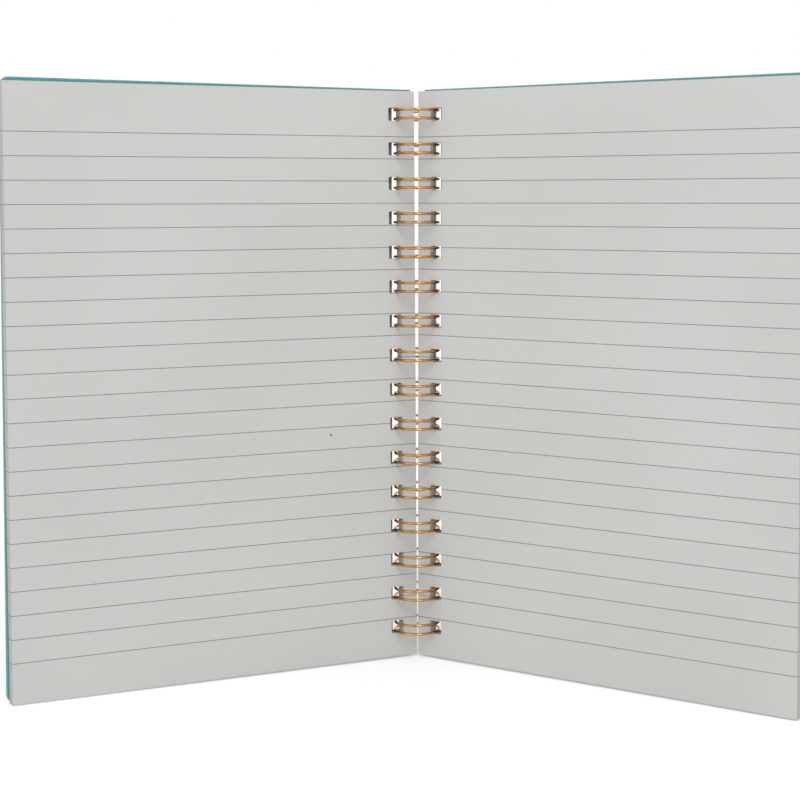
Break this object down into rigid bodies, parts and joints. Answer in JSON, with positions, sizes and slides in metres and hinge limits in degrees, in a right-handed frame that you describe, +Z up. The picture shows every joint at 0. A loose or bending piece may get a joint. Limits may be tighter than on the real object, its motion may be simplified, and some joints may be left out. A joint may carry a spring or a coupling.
{
  "type": "open twin-loop notebook",
  "caption": "Ruled notebook in hard covers on a copper-gold twin-loop wire binding, standing open on the lower edges of its covers.",
  "frame": {"origin": "on the surface it stands on, under the middle of the bounding box at the rest pose", "axes": "+Z up along the binding, +X from the left page to the right page, and the open pages face -Y"},
  "size_m": [0.2686, 0.0784, 0.2118],
  "materials": {
    "paper": "matte, ruled with grey lines",
    "cover_board": "teal covering, matte",
    "lining": "matte grey",
    "wire": "copper-gold, satin"
  },
  "bodies": {
    "right_half": {"right_leaves": "paper", "wire_binding": "wire"},
    "left_half": {"left_leaves": "paper"},
    "front_board": {"front_cover": "cover_board", "front_lining": "lining"},
    "back_board": {"back_cover": "cover_board", "back_lining": "lining"}
  },
  "joints": [
    {"name": "left_leaves_turn", "type": "hinge", "parent": "right_half", "child": "left_half", "pos_m": [0, 0.03049, 0], "axis": [0, 0, 1], "range_deg": [-56, 124]},
    {"name": "front_cover_turn", "type": "hinge", "parent": "left_half", "child": "front_board", "pos_m": [0, 0.03049, 0], "axis": [0, 0, 1], "range_deg": [-8, 0]},
    {"name": "back_cover_turn", "type": "hinge", "parent": "right_half", "child": "back_board", "pos_m": [0, 0.03049, 0], "axis": [0, 0, 1], "range_deg": [0, 8]}
  ]
}
